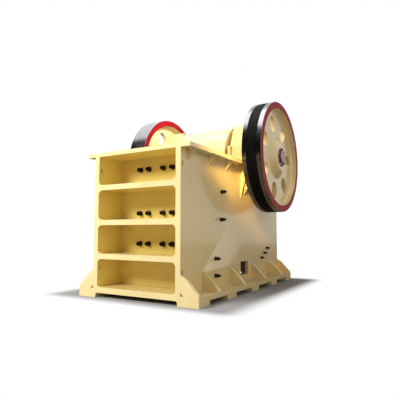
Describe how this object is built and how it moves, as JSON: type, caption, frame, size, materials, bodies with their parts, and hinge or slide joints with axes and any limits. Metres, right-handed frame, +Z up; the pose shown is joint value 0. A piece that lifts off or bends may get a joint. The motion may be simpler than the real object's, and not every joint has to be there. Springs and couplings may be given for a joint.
{
  "type": "jaw crusher",
  "caption": "Single-toggle jaw crusher with a ribbed box frame on feet, a corrugated V chamber, an eccentric shaft, a grooved drive pulley and a plain flywheel.",
  "frame": {"origin": "on the floor, midway along the frame and midway between its side walls", "axes": "+Z up, the ribbed front faces -Y, the grooved drive pulley is on +X"},
  "size_m": [3.062, 4.085, 3.628],
  "materials": {
    "frame_paint": "gloss",
    "wheel_iron": "gloss",
    "machined_steel": "turned",
    "manganese_steel": "cast"
  },
  "bodies": {
    "frame": {"base_flange_left": "frame_paint", "base_flange_right": "frame_paint", "base_gussets_left": "frame_paint", "base_gussets_right": "frame_paint", "bearing_cover_left": "frame_paint", "bearing_cover_right": "frame_paint", "bearing_housing_left": "frame_paint", "bearing_housing_right": "frame_paint", "bearing_seat_left": "frame_paint", "bearing_seat_right": "frame_paint", "bottom_plate": "frame_paint", "cheek_lower_left": "manganese_steel", "cheek_lower_right": "manganese_steel", "cheek_upper_left": "manganese_steel", "cheek_upper_right": "manganese_steel", "feet_left": "frame_paint", "feet_right": "frame_paint", "fixed_jaw_lower": "manganese_steel", "fixed_jaw_upper": "manganese_steel", "front_rib_lower": "frame_paint", "front_rib_middle": "frame_paint", "front_rib_upper": "frame_paint", "front_wall": "frame_paint", "guide_rail_left": "frame_paint", "guide_rail_right": "frame_paint", "moving_jaw_lower": "manganese_steel", "moving_jaw_upper": "manganese_steel", "pitman": "frame_paint", "pitman_guard": "frame_paint", "rear_anchor": "frame_paint", "rear_ribs": "frame_paint", "rear_sill": "frame_paint", "rear_wall": "frame_paint", "shim_pack": "machined_steel", "side_wall_left": "frame_paint", "side_wall_right": "frame_paint", "spring_washers": "machined_steel", "tension_rod": "machined_steel", "tension_spring": "machined_steel", "toggle_beam": "frame_paint", "toggle_plate": "frame_paint", "toggle_seat_front": "manganese_steel", "toggle_seat_rear": "manganese_steel", "top_flange_left": "frame_paint", "top_flange_right": "frame_paint", "top_gussets_left": "frame_paint", "top_gussets_right": "frame_paint", "top_plate": "frame_paint"},
    "rotor": {"eccentric_shaft": "machined_steel", "drive_pulley": "wheel_iron", "flywheel": "wheel_iron", "locking_ring_left": "machined_steel", "locking_ring_right": "machined_steel"}
  },
  "joints": [
    {"name": "rotor_spin", "type": "hinge", "parent": "frame", "child": "rotor", "pos_m": [0, 0.6235, 2.544], "axis": [1, 0, 0], "continuous": true}
  ]
}
